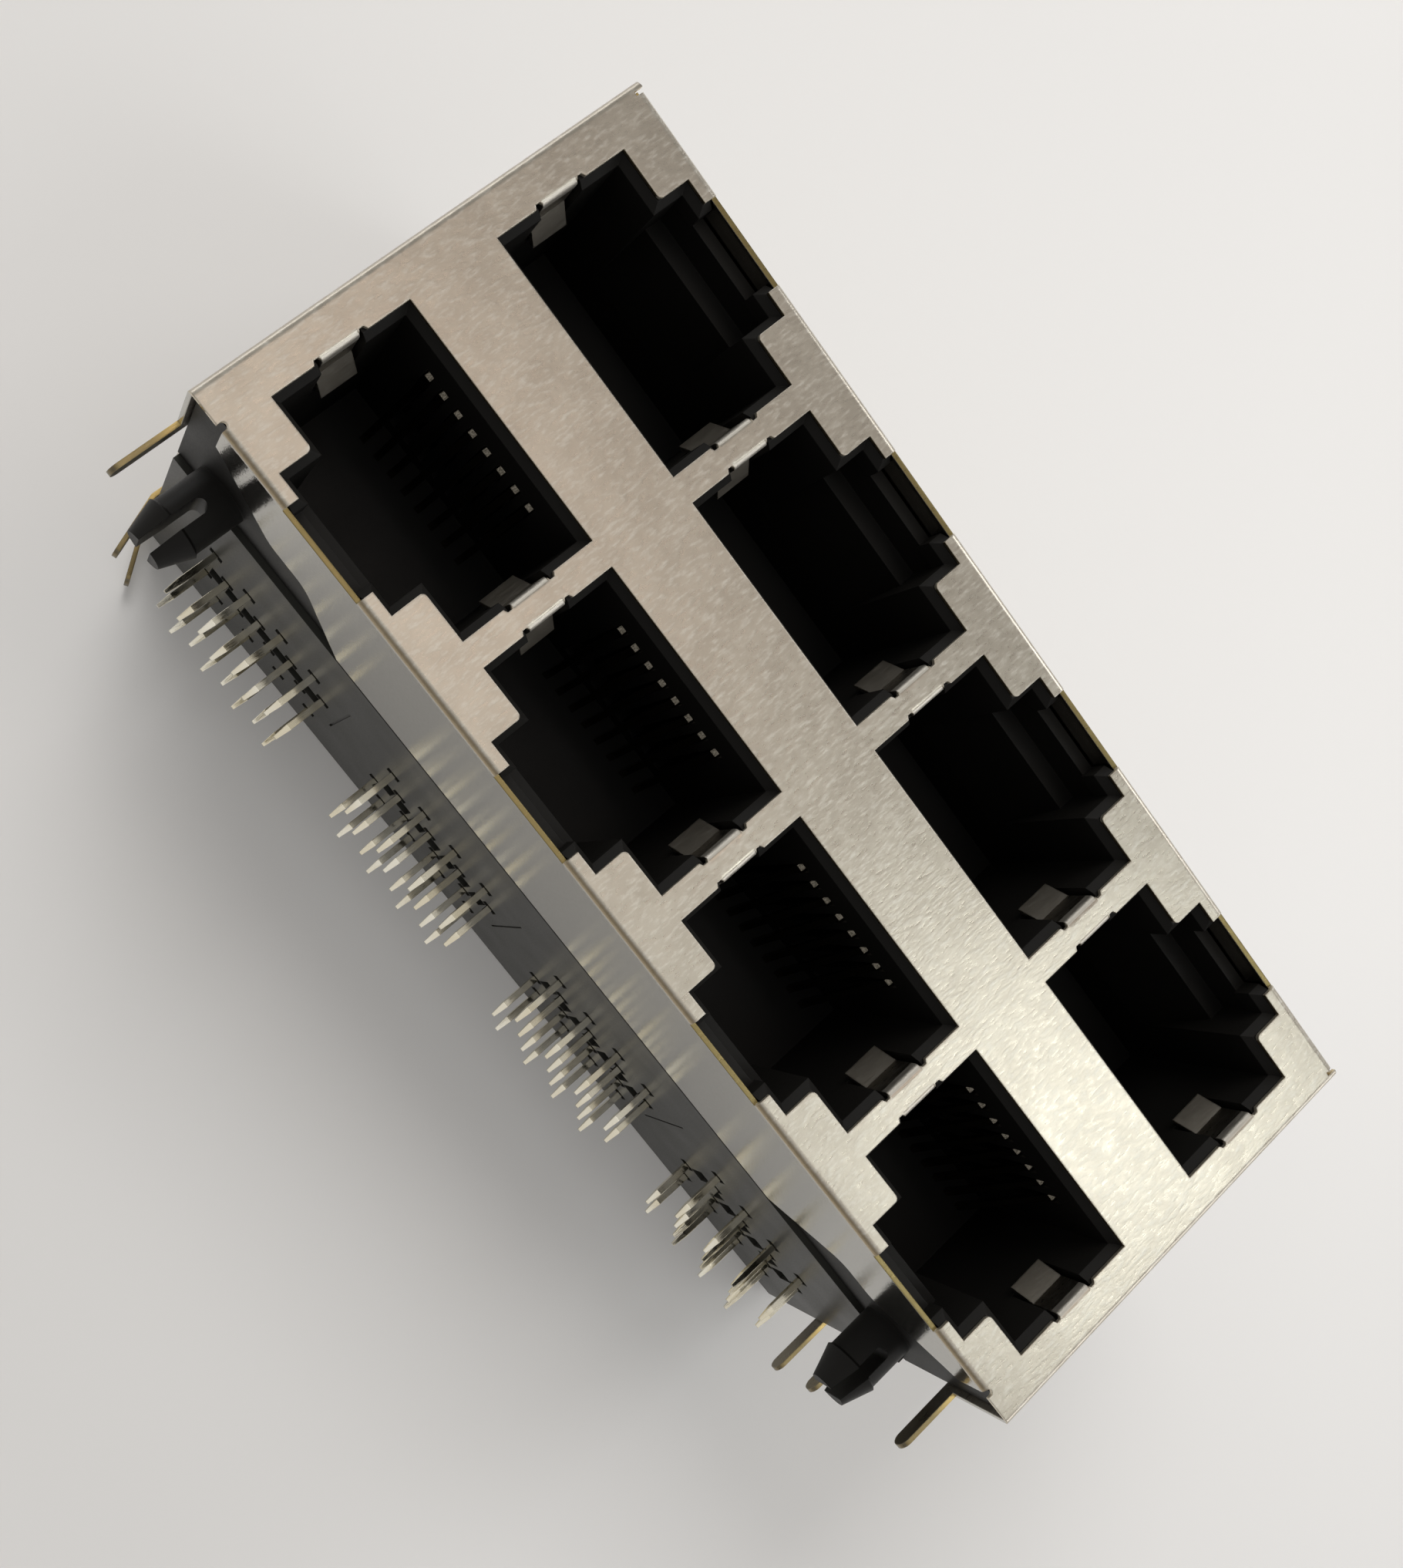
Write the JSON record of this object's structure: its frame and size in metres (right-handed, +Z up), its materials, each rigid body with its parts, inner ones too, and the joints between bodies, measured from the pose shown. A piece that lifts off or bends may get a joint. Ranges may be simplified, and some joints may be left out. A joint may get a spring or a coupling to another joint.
{
  "type": "stacked ethernet jack",
  "caption": "Shielded board jack with two stacked rows of modular plug ports, spring contacts, solder tails, ground pins and split locating pegs.",
  "frame": {"origin": "on the board plane, midway between the two locating pegs", "axes": "+X along the port row, +Y in through the ports towards the rear cover, +Z up from the board"},
  "size_m": [0.0592, 0.0302, 0.0287],
  "materials": {
    "plated_shell": "satin tin plating, brushed and speckled",
    "black_plastic": "fine moulded",
    "grey_plate": "smooth moulded",
    "carrier_plastic": "fine moulded",
    "contact_metal": "tinned, bright"
  },
  "bodies": {
    "root": {"front_shell": "plated_shell", "rear_shell": "plated_shell", "housing": "black_plastic", "tail_plate": "grey_plate", "carrier_upper_1": "carrier_plastic", "carrier_upper_2": "carrier_plastic", "carrier_upper_3": "carrier_plastic", "carrier_upper_4": "carrier_plastic", "carrier_lower_1": "carrier_plastic", "carrier_lower_2": "carrier_plastic", "carrier_lower_3": "carrier_plastic", "carrier_lower_4": "carrier_plastic", "contacts_upper_1": "contact_metal", "contacts_upper_2": "contact_metal", "contacts_upper_3": "contact_metal", "contacts_upper_4": "contact_metal", "contacts_lower_1": "contact_metal", "contacts_lower_2": "contact_metal", "contacts_lower_3": "contact_metal", "contacts_lower_4": "contact_metal"}
  },
  "joints": []
}
